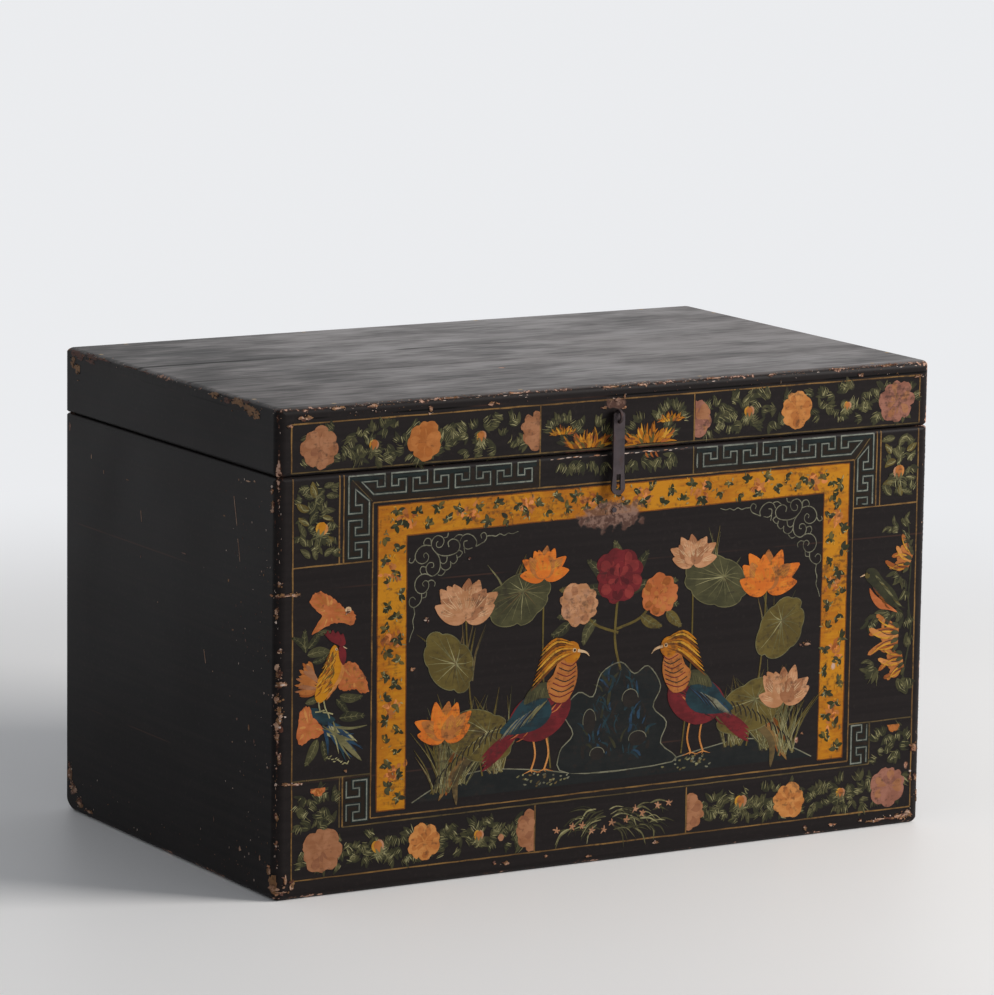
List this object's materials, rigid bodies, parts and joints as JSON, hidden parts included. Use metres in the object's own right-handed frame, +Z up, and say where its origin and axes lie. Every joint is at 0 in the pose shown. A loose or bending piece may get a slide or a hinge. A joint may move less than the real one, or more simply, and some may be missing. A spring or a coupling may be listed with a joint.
{
  "type": "lacquered chest",
  "caption": "Lidded storage chest of dovetailed boards in black lacquer, with painted flower and key borders on the front, a back-hinged lid and a swinging iron hasp.",
  "frame": {"origin": "middle of the underside, on the floor plane", "axes": "+X along the length, to the right seen from the front; the painted front faces -Y; +Z up"},
  "size_m": [0.8, 0.5138, 0.511],
  "materials": {
    "lacquered_wood": "aged black lacquer, semi-gloss, worn edges",
    "bare_wood": "bare aged softwood, planed",
    "bamboo": "split bamboo",
    "forged_iron": "dark forged iron, rubbed, rust in the corners"
  },
  "bodies": {
    "base": {"front_lower_plank": "lacquered_wood", "front_middle_plank": "lacquered_wood", "front_upper_plank": "lacquered_wood", "back_lower_plank": "lacquered_wood", "back_middle_plank": "lacquered_wood", "back_upper_plank": "lacquered_wood", "left_lower_plank": "lacquered_wood", "left_middle_plank": "lacquered_wood", "left_upper_plank": "lacquered_wood", "right_lower_plank": "lacquered_wood", "right_middle_plank": "lacquered_wood", "right_upper_plank": "lacquered_wood", "bottom_plank_1": "bare_wood", "bottom_plank_2": "bare_wood", "bottom_plank_3": "bare_wood", "front_lip": "bare_wood", "left_lip": "bare_wood", "right_lip": "bare_wood", "wall_dowels": "bamboo", "lip_pegs": "bamboo", "left_hinge_base_leaf": "forged_iron", "right_hinge_base_leaf": "forged_iron", "left_hinge_pin": "forged_iron", "right_hinge_pin": "forged_iron", "base_hinge_nails": "forged_iron", "bottom_nails": "forged_iron", "keeper_stub": "forged_iron"},
    "lid": {"lid_front_rail": "lacquered_wood", "lid_back_rail": "lacquered_wood", "lid_left_rail": "lacquered_wood", "lid_right_rail": "lacquered_wood", "lid_front_board": "lacquered_wood", "lid_middle_board": "lacquered_wood", "lid_back_board": "lacquered_wood", "lid_dowels": "bamboo", "lid_pegs": "bamboo", "left_hinge_lid_leaf": "forged_iron", "right_hinge_lid_leaf": "forged_iron", "lid_hinge_nails": "forged_iron", "hasp_cotter": "forged_iron"},
    "hasp": {"hasp_strap": "forged_iron"}
  },
  "joints": [
    {"name": "lid_hinge", "type": "hinge", "parent": "base", "child": "lid", "pos_m": [0, 0.2498, 0.44015], "axis": [-1, 0, 0], "range_deg": [0, 110]},
    {"name": "hasp_swing", "type": "hinge", "parent": "lid", "child": "hasp", "pos_m": [0, -0.2524, 0.4783], "axis": [-1, 0, 0], "range_deg": [0, 170]}
  ]
}
